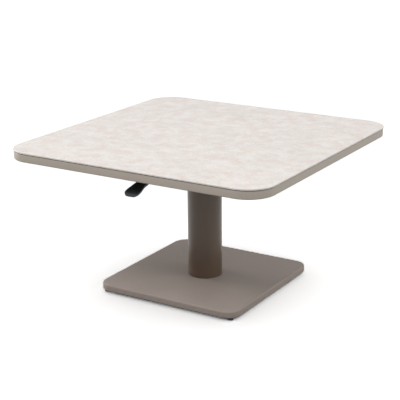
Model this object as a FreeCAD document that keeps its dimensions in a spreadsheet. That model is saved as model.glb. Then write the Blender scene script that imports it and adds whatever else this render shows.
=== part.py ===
"""Square lounge table on a telescoping gas-lift pedestal.

A flat weighted base carries a round outer column. A fluted inner column slides in it, guided by
a keyed bush at the top of the outer column and a plain ring at its own lower end, so the top
rises without turning. A lockable gas spring inside the columns holds the height. A hand lever
under the top presses the valve pin in the gas spring's rod to free it.

Millimetres. +Z is up, the origin is on the floor at the column's axis, and the hand lever is on
the -Y side. The table is drawn at its lowest height.
"""
import FreeCAD, Part

import os
import re
import Sketcher

doc = FreeCAD.newDocument("pedestal_table")
Vector = FreeCAD.Vector

# ---------------------------------------------------------------------------------------------
# Driving dimensions
# ---------------------------------------------------------------------------------------------
SIZES = {
    # table top
    "top_side": 900.0,
    "top_corner_radius": 86.0,
    "sheet_thickness": 4.5,
    "sheet_edge_chamfer": 0.8,
    "sheet_overhang": 1.5,
    "seam_gap": 2.0,
    "panel_thickness": 11.5,
    "panel_clearance": 0.5,
    # edge profile that runs round the top
    "frame_height": 24.5,
    "frame_wall": 3.0,
    "frame_edge_radius": 8.0,
    "ledge_width": 25.0,
    "ledge_thickness": 3.0,
    "lip_width": 15.0,
    "lip_thickness": 3.0,
    # cross bars and mounting plate
    "bar_width": 40.0,
    "bar_height": 12.0,
    "bar_wall": 2.0,
    "bar_corner_radius": 3.0,
    "bar_spacing": 240.0,
    "mount_plate_side": 300.0,
    "mount_plate_thickness": 6.0,
    "mount_plate_corner": 22.0,
    "mount_waist_radius": 72.0,
    "mount_waist_depth": 60.0,
    "mount_centre_hole": 24.0,
    "bar_screw_inner": 80.0,
    "bar_screw_outer": 122.0,
    # outer column and its keyed bush
    "guide_width": 10.5,
    "outer_wall": 3.0,
    "bush_length": 60.0,
    "collar_thickness": 8.0,
    "collar_overhang": 1.5,
    "collar_fillet": 2.0,
    "bush_screw_drop": 20.0,
    "bush_screw_depth": 6.0,
    # fluted inner column and its guide ring
    "inner_radius": 42.0,
    "inner_wall": 5.0,
    "flute_width": 10.0,
    "flute_depth": 2.5,
    "flute_count": 3,
    "ring_height": 40.0,
    "vent_radius": 2.5,
    "vent_count": 6,
    "guide_clearance": 0.3,
    "lift_stroke": 220.0,
    "guide_overlap": 45.0,
    "foot_clearance": 34.0,
    "head_gap": 12.5,
    # release head on top of the inner column
    "head_radius": 62.0,
    "head_flange": 16.0,
    "head_chamfer": 3.5,
    "head_spigot": 30.0,
    "head_screw_circle": 52.0,
    "head_screw_count": 3,
    "cavity_radius": 15.0,
    "cavity_depth": 15.5,
    "lever_slot": 14.0,
    "clamp_screw_drop": 15.0,
    "clamp_screw_depth": 7.0,
    # gas spring
    "cylinder_radius": 20.0,
    "cylinder_wall": 2.0,
    "cylinder_floor": 6.0,
    "piston_rest": 33.0,
    "piston_height": 12.0,
    "piston_neck_radius": 4.0,
    "end_clearance": 29.0,
    "gland_height": 20.0,
    "gland_lip": 3.0,
    "rod_radius": 7.0,
    "rod_recess": 0.5,
    "locknut_height": 9.0,
    "locknut_flats": 22.0,
    "foot_stud_radius": 6.0,
    "foot_nut_height": 9.0,
    "foot_nut_flats": 19.0,
    "nut_well_radius": 15.0,
    # valve pin and hand lever
    "pin_radius": 3.0,
    "pin_bore_depth": 10.0,
    "pin_travel": 3.0,
    "pin_gap": 0.3,
    "lever_depth": 7.5,
    "pivot_offset": 36.0,
    "pivot_radius": 3.0,
    "pivot_length": 90.0,
    "arm_width": 12.0,
    "arm_thickness": 7.0,
    "nose_reach": 6.0,
    "arm_bend_gap": 2.0,
    "arm_slope": 2.6,
    "paddle_reach": 300.0,
    "paddle_slope": 17.7,
    "paddle_length": 121.5,
    "paddle_root_width": 26.0,
    "paddle_tip_width": 48.6,
    "paddle_thickness": 13.0,
    "blade_thickness": 7.0,
    "neck_length": 46.0,
    "neck_run_out": 24.0,
    "flare_from_root": 26.0,
    "flare_length": 70.0,
    "flare_radius": 90.0,
    "nose_length": 10.0,
    "nose_drop": 5.5,
    "nose_dip": 2.5,
    "nose_radius": 14.0,
    "paddle_tip_radius": 16.0,
    "paddle_edge_radius": 1.8,
    "grip_width": 26.0,
    "grip_depth": 2.0,
    "grip_inset": 6.0,
    "grip_length": 30.0,
    "tang_length": 42.0,
    "tang_pin_first": 12.0,
    "tang_pin_second": 32.0,
    "tang_pin_radius": 2.0,
    "tang_clearance": 0.2,
    # base
    "cover_side": 507.0,
    "cover_corner_radius": 45.0,
    "cover_height": 24.0,
    "cover_wall": 2.0,
    "cover_edge_radius": 6.0,
    "base_plate_thickness": 10.0,
    "base_plate_gap": 1.5,
    "column_flange_radius": 85.0,
    "column_flange_thickness": 8.0,
    "column_spigot_height": 10.0,
    "column_spigot_wall": 12.0,
    "flange_screw_circle": 70.0,
    "flange_screw_count": 4,
    "standoff_radius": 6.0,
    "standoff_inset": 83.5,
    # levelling glides
    "glide_height": 8.0,
    "glide_radius": 10.0,
    "glide_chamfer": 1.5,
    "glide_inset": 24.0,
    "glide_stud_radius": 4.0,
    "glide_stud_length": 20.0,
    "glide_stud_embed": 4.0,
    "glide_nut_height": 6.5,
    "glide_nut_flats": 13.0,
    # screws and fits
    "small_screw_radius": 2.0,
    "small_head_radius": 4.0,
    "small_head_height": 2.4,
    "panel_screw_grip": 9.0,
    "panel_screw_offset": 210.0,
    "set_screw_radius": 2.5,
    "medium_screw_radius": 3.0,
    "medium_head_radius": 5.0,
    "medium_head_height": 4.0,
    "bar_screw_reach": 4.0,
    "large_screw_radius": 4.0,
    "large_head_radius": 6.5,
    "large_head_height": 4.5,
    "large_head_recess": 5.0,
    "screw_clearance": 0.05,
    "running_clearance": 0.05,
    "sliding_clearance": 0.1,
}

sheet = doc.addObject("Spreadsheet::Sheet", "sizes")
for row, (alias, number) in enumerate(SIZES.items(), start=1):
    sheet.set(f"A{row}", alias)
    sheet.set(f"B{row}", str(number))
    sheet.setAlias(f"B{row}", alias)
doc.recompute()

# Levels and fits that follow from the driving dimensions, as formulas over their names.
FORMULAS = {
    # base, from the floor up
    "base_bottom": "glide_height",
    "base_plate_top": "base_bottom + base_plate_thickness",
    "cover_top": "base_bottom + cover_height",
    "cover_inner_top": "cover_top - cover_wall",
    "base_plate_side": "cover_side - 2 * (cover_wall + base_plate_gap)",
    "base_plate_corner": "cover_corner_radius - cover_wall - base_plate_gap",
    "flange_top": "base_plate_top + column_flange_thickness",
    "glide_offset": "cover_side / 2 - glide_inset",
    "standoff_offset": "cover_side / 2 - standoff_inset",
    # columns
    "outer_bore": "inner_radius + guide_width",
    "outer_radius": "outer_bore + outer_wall",
    "inner_bore": "inner_radius - inner_wall",
    "ring_bottom": "flange_top + foot_clearance",
    "bush_bottom": "ring_bottom + ring_height + guide_overlap + lift_stroke",
    "outer_top": "bush_bottom + bush_length",
    "collar_top": "outer_top + collar_thickness",
    "head_bottom": "collar_top + head_gap",
    "head_top": "head_bottom + head_flange",
    "spigot_bottom": "head_bottom - head_spigot",
    "key_width": "flute_width - 2 * guide_clearance",
    "flute_floor": "inner_radius - flute_depth",
    # top, from the mounting plate up
    "bar_bottom": "head_top + mount_plate_thickness",
    "panel_bottom": "bar_bottom + bar_height",
    "sheet_bottom": "panel_bottom + panel_thickness",
    "frame_top": "sheet_bottom - seam_gap",
    "frame_bottom": "frame_top - frame_height",
    "ledge_bottom": "panel_bottom - ledge_thickness",
    "lip_top": "frame_bottom + lip_thickness",
    "frame_side": "top_side - 2 * sheet_overhang",
    "frame_corner": "top_corner_radius - sheet_overhang",
    "seat_side": "frame_side - 2 * frame_wall",
    "seat_corner": "frame_corner - frame_wall",
    "ledge_side": "seat_side - 2 * ledge_width",
    "ledge_corner": "seat_corner - ledge_width",
    "lip_side": "seat_side - 2 * lip_width",
    "lip_corner": "seat_corner - lip_width",
    "panel_screw_line": "seat_side / 2 - ledge_width / 2",
    "waist_centre": "mount_plate_side / 2 - mount_waist_depth + mount_waist_radius",
    "bar_centre": "bar_spacing / 2",
    # gas spring
    "cylinder_bore": "cylinder_radius - cylinder_wall",
    "bore_bottom": "flange_top + cylinder_floor",
    "piston_bottom": "bore_bottom + piston_rest",
    "piston_top": "piston_bottom + piston_height",
    "gland_bottom": "piston_top + lift_stroke + end_clearance",
    "cylinder_top": "gland_bottom + gland_height",
    "cavity_floor": "head_top - cavity_depth",
    "rod_top": "cavity_floor - rod_recess",
    "pin_bore_bottom": "rod_top - pin_bore_depth",
    # lever, seen along X: y and z of its centre line
    "arm_level": "head_top - lever_depth",
    "arm_half": "arm_thickness / 2",
    "arm_bend_reach": "head_radius + arm_bend_gap",
    "pin_top": "arm_level - arm_half - pin_gap",
    "pin_bottom": "pin_bore_bottom + pin_travel + pin_gap",
    "paddle_level": "arm_level - (paddle_reach - arm_bend_reach) * tan(arm_slope)",
    "tang_end_reach": "paddle_reach + tang_length * cos(paddle_slope)",
    "tang_end_level": "paddle_level - tang_length * sin(paddle_slope)",
    "mean_slope": "(arm_slope + paddle_slope) / 2",
    "mitre_half": "arm_half / cos((paddle_slope - arm_slope) / 2)",
    "blade_top": "paddle_thickness / 2",
    "blade_bottom": "blade_top - blade_thickness",
    "blade_from_root": "neck_length + neck_run_out",
    "nose_from_root": "paddle_length - nose_length",
}


def resolve(formula):
    """Turn a formula over plain names into an expression over the sheet's cells."""
    def replace(match):
        word = match.group(0)
        if word in SIZES:
            return f"sizes.{word}"
        if word in FORMULAS:
            return f"({resolve(FORMULAS[word])})"
        return word
    return re.sub(r"[a-z_]+", replace, formula)


def value(formula):
    """The number that a formula gives for the sheet's present values."""
    result = sheet.evalExpression(resolve(formula))
    return float(getattr(result, "Value", result))


def bind(item, prop, formula):
    item.setExpression(prop, resolve(formula))


def place(item, x="0", y="0", z="0"):
    """Bind an object's position to formulas."""
    for axis, formula in (("x", x), ("y", y), ("z", z)):
        if formula != "0":
            bind(item, f"Placement.Base.{axis}", formula)


# ---------------------------------------------------------------------------------------------
# Bodies, sketches and features
# ---------------------------------------------------------------------------------------------
parts = []


def new_body(name):
    body = doc.addObject("PartDesign::Body", name)
    body.Label = name
    parts.append(body)
    return body


def new_sketch(body, name, role="XY_Plane", level="0"):
    """An empty sketch on one of the body's own origin planes, at a level along its normal."""
    sketch = body.newObject("Sketcher::SketchObject", f"{body.Name}_{name}")
    plane = next(item for item in body.Origin.OriginFeatures if item.Role == role)
    sketch.AttachmentSupport = (plane, [""])
    sketch.MapMode = "FlatFace"
    bind(sketch, "AttachmentOffset.Base.z", level)
    return sketch


def drive(sketch, constraint, formula):
    """Add a dimension and bind it to a formula."""
    index = sketch.addConstraint(constraint)
    bind(sketch, f"Constraints[{index}]", formula)


def fix_point(sketch, geometry, point, x, y):
    """Hold a point of the sketch at the coordinates that two formulas give."""
    for kind, formula, axis in (("DistanceX", x, -2), ("DistanceY", y, -1)):
        if formula == "0":
            sketch.addConstraint(Sketcher.Constraint("PointOnObject", geometry, point, axis))
        else:
            drive(sketch, Sketcher.Constraint(kind, geometry, point, value(formula)), formula)


def add_circle(sketch, radius, x="0", y="0"):
    centre = Vector(value(x), value(y), 0)
    index = sketch.addGeometry(Part.Circle(centre, Vector(0, 0, 1), value(radius)))
    drive(sketch, Sketcher.Constraint("Radius", index, value(radius)), radius)
    fix_point(sketch, index, 3, x, y)


def add_polygon(sketch, corners):
    """A closed outline through corners that are given as pairs of formulas."""
    points = [Vector(value(x), value(y), 0) for x, y in corners]
    following = points[1:] + points[:1]
    lines = [sketch.addGeometry(Part.LineSegment(a, b)) for a, b in zip(points, following)]
    for line, after in zip(lines, lines[1:] + lines[:1]):
        sketch.addConstraint(Sketcher.Constraint("Coincident", line, 2, after, 1))
    for line, (x, y) in zip(lines, corners):
        fix_point(sketch, line, 1, x, y)


def add_rectangle(sketch, left, right, low, high):
    add_polygon(sketch, [(left, low), (right, low), (right, high), (left, high)])


def add_rounded_square(sketch, side, radius):
    """A square about the origin with equal round corners."""
    half = value(side) / 2
    inner = half - value(radius)
    first = None
    for turn in range(4):
        spin = FreeCAD.Rotation(Vector(0, 0, 1), 90 * turn)
        start = spin.multVec(Vector(-inner, -half, 0))
        end = spin.multVec(Vector(inner, -half, 0))
        centre = spin.multVec(Vector(inner, -inner, 0))
        circle = Part.Circle(centre, Vector(0, 0, 1), value(radius))
        opening = FreeCAD.Units.Quantity(f"{90 * (turn - 1)} deg").getValueAs("rad").Value
        closing = FreeCAD.Units.Quantity(f"{90 * turn} deg").getValueAs("rad").Value
        line = sketch.addGeometry(Part.LineSegment(start, end))
        sketch.addGeometry(Part.ArcOfCircle(circle, opening, closing))
        first = line if first is None else first
    lines = [first + 2 * turn for turn in range(4)]
    arcs = [line + 1 for line in lines]
    for line, arc, after in zip(lines, arcs, lines[1:] + lines[:1]):
        sketch.addConstraint(Sketcher.Constraint("Tangent", line, 2, arc, 1))
        sketch.addConstraint(Sketcher.Constraint("Tangent", arc, 2, after, 1))
    for line, direction in zip(lines, ("Horizontal", "Vertical", "Horizontal", "Vertical")):
        sketch.addConstraint(Sketcher.Constraint(direction, line))
    for arc in arcs[1:]:
        sketch.addConstraint(Sketcher.Constraint("Equal", arcs[0], arc))
    sketch.addConstraint(Sketcher.Constraint("Symmetric", arcs[0], 3, arcs[2], 3, -1, 1))
    drive(sketch, Sketcher.Constraint("Radius", arcs[0], value(radius)), radius)
    drive(sketch, Sketcher.Constraint("DistanceX", lines[3], 1, lines[1], 1, 2 * half), side)
    drive(sketch, Sketcher.Constraint("DistanceY", lines[0], 1, lines[2], 1, 2 * half), side)


def pad(body, sketch, length, midplane=False):
    feature = body.newObject("PartDesign::Pad", f"{sketch.Name}_pad")
    feature.Profile = sketch
    feature.Midplane = midplane
    bind(feature, "Length", length)
    sketch.Visibility = False
    doc.recompute()
    return feature


def pocket(body, sketch, length=None, upward=False, midplane=False):
    """Cut a sketch's outline out of the body, through everything if no length is given."""
    before = body.Shape.Volume
    feature = body.newObject("PartDesign::Pocket", f"{sketch.Name}_cut")
    feature.Profile = sketch
    feature.Reversed = upward
    feature.Midplane = midplane
    if length is None:
        feature.Type = "ThroughAll"
    else:
        bind(feature, "Length", length)
    doc.recompute()
    if body.Shape.Volume > before - 1e-3:
        raise RuntimeError(f"{feature.Name} removes nothing")
    return feature


def revolve(body, sketch):
    feature = body.newObject("PartDesign::Revolution", f"{sketch.Name}_turn")
    feature.Profile = sketch
    feature.ReferenceAxis = (sketch, ["V_Axis"])
    feature.Angle = 360.0
    doc.recompute()
    return feature


def repeat(body, feature, count):
    """Repeat a feature evenly round the body's Z axis."""
    pattern = body.newObject("PartDesign::PolarPattern", f"{feature.Name}_ring")
    pattern.Originals = [feature]
    axis = next(item for item in body.Origin.OriginFeatures if item.Role == "Z_Axis")
    pattern.Axis = (axis, [""])
    pattern.Angle = 360.0
    bind(pattern, "Occurrences", count)
    body.Tip = pattern
    doc.recompute()
    return pattern


def edges_where(body, test):
    """Names of the edges of the body's present shape that pass a test."""
    edges = enumerate(body.Shape.Edges, start=1)
    return [f"Edge{number}" for number, edge in edges if test(edge)]


def lies_at(level):
    """A test for edges that lie wholly at one height."""
    height = value(level)

    def test(edge):
        box = edge.BoundBox
        return abs(box.ZMin - height) < 1e-4 and abs(box.ZMax - height) < 1e-4
    return test


def dress(body, kind, prop, size, test):
    """Fillet or chamfer the edges of the body that pass a test."""
    base = body.Tip
    feature = body.newObject(f"PartDesign::{kind}", f"{base.Name}_{kind.lower()}")
    feature.Base = (base, edges_where(body, test))
    bind(feature, prop, size)
    doc.recompute()
    return feature


def fillet(body, size, test):
    return dress(body, "Fillet", "Radius", size, test)


def chamfer(body, size, test):
    return dress(body, "Chamfer", "Size", size, test)


# ---------------------------------------------------------------------------------------------
# Small turned pieces and groups of them
# ---------------------------------------------------------------------------------------------
def cylinder(name, radius, length, x="0", y="0", z="0"):
    item = doc.addObject("Part::Cylinder", name)
    bind(item, "Radius", radius)
    bind(item, "Height", length)
    place(item, x, y, z)
    return item


def screw(name, size, seat, length, x, y):
    """A screw that points up, with its head under the level on which it seats."""
    shank = cylinder(f"{name}_shank", f"{size}_screw_radius", length, x, y, seat)
    head_level = f"{seat} - {size}_head_height"
    head = cylinder(f"{name}_head", f"{size}_head_radius", f"{size}_head_height", x, y, head_level)
    item = doc.addObject("Part::Fuse", name)
    item.Base = shank
    item.Tool = head
    return item


def nut(name, flats, height, bore, x, y, z):
    """A hexagon nut with a plain bore."""
    block = doc.addObject("Part::Prism", f"{name}_block")
    block.Polygon = 6
    bind(block, "Circumradius", f"{flats} / 2 / cos(30)")
    bind(block, "Height", height)
    place(block, x, y, z)
    item = doc.addObject("Part::Cut", name)
    item.Base = block
    item.Tool = cylinder(f"{name}_bore", bore, height, x, y, z)
    return item


def group(name, items):
    """One node that holds several separate pieces."""
    compound = doc.addObject("Part::Compound", name)
    compound.Label = name
    compound.Links = items
    parts.append(compound)
    return compound


def square_corners(offset):
    """The four corners of a square about the axis, as pairs of formulas."""
    return [(f"{x} * {offset}", f"{y} * {offset}") for x in (-1, 1) for y in (-1, 1)]


def round_circle(radius, count, first_angle):
    """Evenly spaced places on a circle about the axis, as pairs of formulas."""
    turns = [f"({first_angle} + 360 * {number} / {count})" for number in range(int(value(count)))]
    return [(f"{radius} * cos{turn}", f"{radius} * sin{turn}") for turn in turns]


# ---------------------------------------------------------------------------------------------
# Base
# ---------------------------------------------------------------------------------------------
def make_base_plate():
    """Flat steel plate that gives the weight and carries the column and the glides."""
    body = new_body("base_plate")
    outline = new_sketch(body, "outline", level="base_bottom")
    add_rounded_square(outline, "base_plate_side", "base_plate_corner")
    pad(body, outline, "base_plate_thickness")
    well = new_sketch(body, "nut_well", level="base_plate_top")
    add_circle(well, "nut_well_radius")
    pocket(body, well)
    holes = new_sketch(body, "flange_holes", level="base_plate_top")
    add_circle(holes, "large_screw_radius + screw_clearance", "flange_screw_circle", "0")
    repeat(body, pocket(body, holes), "flange_screw_count")
    recess = new_sketch(body, "head_recess", level="base_bottom")
    add_circle(recess, "large_head_radius + screw_clearance", "flange_screw_circle", "0")
    repeat(body, pocket(body, recess, "large_head_recess", upward=True), "flange_screw_count")
    studs = new_sketch(body, "glide_holes", level="base_plate_top")
    for x, y in square_corners("glide_offset"):
        add_circle(studs, "glide_stud_radius + sliding_clearance", x, y)
    pocket(body, studs)


def make_base_cover():
    """Pressed cover with a soft edge that hides the plate and the column's flange."""
    body = new_body("base_cover")
    outline = new_sketch(body, "outline", level="base_bottom")
    add_rounded_square(outline, "cover_side", "cover_corner_radius")
    pad(body, outline, "cover_height")
    fillet(body, "cover_edge_radius", lies_at("cover_top"))
    inside = new_sketch(body, "inside", level="base_bottom")
    add_rounded_square(inside, "cover_side - 2 * cover_wall", "cover_corner_radius - cover_wall")
    pocket(body, inside, "cover_height - cover_wall", upward=True)
    fillet(body, "cover_edge_radius - cover_wall", lies_at("cover_inner_top"))
    neck = new_sketch(body, "column_hole", level="cover_top")
    add_circle(neck, "outer_radius + guide_clearance")
    pocket(body, neck)


def make_cover_standoffs():
    """Posts on the plate on which the cover rests."""
    posts = []
    for number, (x, y) in enumerate(square_corners("standoff_offset")):
        height = "cover_inner_top - base_plate_top"
        name = f"standoff_{number}"
        posts.append(cylinder(name, "standoff_radius", height, x, y, "base_plate_top"))
    group("cover_standoffs", posts)


def make_column_flange():
    """Turned flange at the foot of the outer column, with a spigot that centres the tube."""
    body = new_body("column_flange")
    profile = new_sketch(body, "profile", "XZ_Plane")
    bore = "foot_stud_radius + screw_clearance"
    spigot_outer = "outer_bore - screw_clearance"
    spigot_inner = "outer_bore - column_spigot_wall"
    add_polygon(profile, [
        (bore, "base_plate_top"),
        ("column_flange_radius", "base_plate_top"),
        ("column_flange_radius", "flange_top"),
        (spigot_outer, "flange_top"),
        (spigot_outer, "flange_top + column_spigot_height"),
        (spigot_inner, "flange_top + column_spigot_height"),
        (spigot_inner, "flange_top"),
        (bore, "flange_top"),
    ])
    revolve(body, profile)
    holes = new_sketch(body, "screw_holes", level="flange_top")
    add_circle(holes, "large_screw_radius + screw_clearance", "flange_screw_circle", "0")
    repeat(body, pocket(body, holes), "flange_screw_count")


def make_flange_screws():
    """Screws from under the plate into the column's flange."""
    seat = "(base_bottom + large_head_recess)"
    length = "flange_top - base_bottom - large_head_recess"
    places = round_circle("flange_screw_circle", "flange_screw_count", "0")
    group("flange_screws", [
        screw(f"flange_screw_{number}", "large", seat, length, x, y)
        for number, (x, y) in enumerate(places)
    ])


# ---------------------------------------------------------------------------------------------
# Levelling glides
# ---------------------------------------------------------------------------------------------
GLIDES = {
    "front_left": (-1, -1),
    "front_right": (1, -1),
    "rear_left": (-1, 1),
    "rear_right": (1, 1),
}


def make_glides():
    """A moulded pad on a threaded stud at each corner, with its nut on the plate."""
    nuts = []
    for corner, (side, end) in GLIDES.items():
        x = f"{side} * glide_offset"
        y = f"{end} * glide_offset"
        pad_body = new_body(f"glide_pad_{corner}")
        profile = new_sketch(pad_body, "profile", "XZ_Plane")
        stud_bore = "glide_stud_radius + screw_clearance"
        stud_floor = "glide_height - glide_stud_embed"
        add_polygon(profile, [
            ("0", "0"),
            ("glide_radius - glide_chamfer", "0"),
            ("glide_radius", "glide_chamfer"),
            ("glide_radius", "glide_height"),
            (stud_bore, "glide_height"),
            (stud_bore, stud_floor),
            ("0", stud_floor),
        ])
        revolve(pad_body, profile)
        place(pad_body, x, y)
        length = "glide_stud_length + glide_stud_embed"
        stud = cylinder(f"glide_stud_{corner}", "glide_stud_radius", length, x, y, stud_floor)
        stud.Label = f"glide_stud_{corner}"
        parts.append(stud)
        bore = "glide_stud_radius + sliding_clearance"
        nuts.append(nut(f"glide_nut_{corner}", "glide_nut_flats", "glide_nut_height", bore,
                        x, y, "base_plate_top"))
    group("glide_nuts", nuts)


# ---------------------------------------------------------------------------------------------
# Columns
# ---------------------------------------------------------------------------------------------
def make_outer_column():
    """Round steel tube that stands on the flange."""
    body = new_body("outer_column")
    section = new_sketch(body, "section", level="flange_top")
    add_circle(section, "outer_radius")
    add_circle(section, "outer_bore")
    pad(body, section, "outer_top - flange_top")
    hole = new_sketch(body, "bush_hole", "YZ_Plane")
    add_circle(hole, "set_screw_radius + screw_clearance", "0", "outer_top - bush_screw_drop")
    repeat(body, pocket(body, hole, "outer_radius", upward=True), "flute_count")


def add_keys(body, height, inward, outward):
    """Straight keys that stand in the inner column's flutes, one for each flute."""
    key = new_sketch(body, "key", level=height[0])
    add_rectangle(key, inward, outward, "-1 * key_width / 2", "key_width / 2")
    repeat(body, pad(body, key, height[1]), "flute_count")


def make_upper_guide_bush():
    """Moulded bush in the mouth of the outer column, with a collar and three keys."""
    body = new_body("upper_guide_bush")
    profile = new_sketch(body, "profile", "XZ_Plane")
    bore = "inner_radius + guide_clearance"
    sleeve = "outer_bore - screw_clearance"
    rim = "outer_radius + collar_overhang"
    add_polygon(profile, [
        (bore, "bush_bottom"),
        (sleeve, "bush_bottom"),
        (sleeve, "outer_top"),
        (rim, "outer_top"),
        (rim, "collar_top"),
        (bore, "collar_top"),
    ])
    revolve(body, profile)
    rim_radius = value(rim)

    def outer_rim(edge):
        box = edge.BoundBox
        return lies_at("collar_top")(edge) and abs(box.XMax - rim_radius) < 1e-3
    fillet(body, "collar_fillet", outer_rim)
    height = ("bush_bottom", "collar_top - bush_bottom")
    add_keys(body, height, "flute_floor + guide_clearance", f"{bore} + flute_depth")
    hole = new_sketch(body, "screw_hole", "YZ_Plane", "outer_radius - bush_screw_depth")
    add_circle(hole, "set_screw_radius + screw_clearance", "0", "outer_top - bush_screw_drop")
    repeat(body, pocket(body, hole, "bush_screw_depth", upward=True), "flute_count")


def radial_pins(name, count, radius, length, outside, level):
    """Set screws that point at the axis, evenly spaced, the first on +X."""
    pins = []
    for number in range(int(value(count))):
        turn = f"(360 * {number} / {count})"
        pin = doc.addObject("Part::Cylinder", f"{name}_{number}")
        bind(pin, "Radius", radius)
        bind(pin, "Height", length)
        spin = FreeCAD.Rotation(Vector(0, 0, 1), 360.0 * number / value(count))
        lie_down = FreeCAD.Rotation(Vector(0, 1, 0), 90)
        pin.Placement = FreeCAD.Placement(Vector(), spin * lie_down)
        start = f"({outside} - {length})"
        place(pin, f"{start} * cos{turn}", f"{start} * sin{turn}", level)
        pins.append(pin)
    group(name, pins)


def make_inner_column():
    """Extruded tube with flutes down its outside."""
    body = new_body("inner_column")
    section = new_sketch(body, "section", level="ring_bottom")
    add_circle(section, "inner_radius")
    add_circle(section, "inner_bore")
    pad(body, section, "head_bottom - ring_bottom")
    flute = new_sketch(body, "flute", level="head_bottom")
    add_rectangle(flute, "flute_floor", "inner_radius + flute_depth",
                  "-1 * flute_width / 2", "flute_width / 2")
    repeat(body, pocket(body, flute), "flute_count")
    hole = new_sketch(body, "clamp_hole", "YZ_Plane")
    add_circle(hole, "set_screw_radius + screw_clearance", "0", "head_bottom - clamp_screw_drop")
    repeat(body, pocket(body, hole, "inner_radius", upward=True), "flute_count")


def make_lower_guide_ring():
    """Moulded ring on the foot of the inner column, with keys inside and air channels outside."""
    body = new_body("lower_guide_ring")
    section = new_sketch(body, "section", level="ring_bottom")
    add_circle(section, "outer_bore - guide_clearance")
    add_circle(section, "inner_radius + screw_clearance")
    pad(body, section, "ring_height")
    add_keys(body, ("ring_bottom", "ring_height"), "flute_floor + screw_clearance",
             "inner_radius + flute_depth")
    vent = new_sketch(body, "vent", level="ring_bottom + ring_height")
    half_pitch = "180 / vent_count"
    add_circle(vent, "vent_radius", f"outer_bore * cos({half_pitch})",
               f"outer_bore * sin({half_pitch})")
    repeat(body, pocket(body, vent), "vent_count")


# ---------------------------------------------------------------------------------------------
# Gas spring
# ---------------------------------------------------------------------------------------------
def make_gas_spring():
    """Cylinder on the base, and a rod with its piston that hangs from the release head."""
    body = new_body("gas_spring_cylinder")
    profile = new_sketch(body, "profile", "XZ_Plane")
    stud_end = "flange_top - column_flange_thickness - foot_nut_height"
    add_polygon(profile, [
        ("0", stud_end),
        ("foot_stud_radius", stud_end),
        ("foot_stud_radius", "flange_top"),
        ("cylinder_radius", "flange_top"),
        ("cylinder_radius", "cylinder_top"),
        ("cylinder_bore", "cylinder_top"),
        ("cylinder_bore", "bore_bottom"),
        ("0", "bore_bottom"),
    ])
    revolve(body, profile)

    gland = new_body("gas_spring_gland")
    profile = new_sketch(gland, "profile", "XZ_Plane")
    bore = "rod_radius + sliding_clearance"
    sleeve = "cylinder_bore - screw_clearance"
    add_polygon(profile, [
        (bore, "gland_bottom"),
        (sleeve, "gland_bottom"),
        (sleeve, "cylinder_top"),
        ("cylinder_radius", "cylinder_top"),
        ("cylinder_radius", "cylinder_top + gland_lip"),
        (bore, "cylinder_top + gland_lip"),
    ])
    revolve(gland, profile)

    rod = new_body("gas_spring_rod")
    profile = new_sketch(rod, "profile", "XZ_Plane")
    pin_bore = "pin_radius + running_clearance"
    add_polygon(profile, [
        ("0", "piston_bottom"),
        ("piston_neck_radius", "piston_bottom"),
        ("piston_neck_radius", "piston_top"),
        ("rod_radius", "piston_top"),
        ("rod_radius", "rod_top"),
        (pin_bore, "rod_top"),
        (pin_bore, "pin_bore_bottom"),
        ("0", "pin_bore_bottom"),
    ])
    revolve(rod, profile)

    piston = new_body("gas_spring_piston")
    profile = new_sketch(piston, "profile", "XZ_Plane")
    neck = "piston_neck_radius + screw_clearance"
    rim = "cylinder_bore - sliding_clearance"
    groove = "cylinder_bore - cylinder_wall"
    add_polygon(profile, [
        (neck, "piston_bottom"),
        (rim, "piston_bottom"),
        (rim, "piston_bottom + piston_height / 3"),
        (groove, "piston_bottom + piston_height / 3"),
        (groove, "piston_top - piston_height / 3"),
        (rim, "piston_top - piston_height / 3"),
        (rim, "piston_top"),
        (neck, "piston_top"),
    ])
    revolve(piston, profile)

    bore = "rod_radius + screw_clearance"
    group("rod_locknut", [nut("locknut", "locknut_flats", "locknut_height", bore,
                              "0", "0", "spigot_bottom - locknut_height")])
    bore = "foot_stud_radius + screw_clearance"
    group("gas_spring_nut", [nut("foot_nut", "foot_nut_flats", "foot_nut_height", bore,
                                 "0", "0", "base_plate_top - foot_nut_height")])


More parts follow.
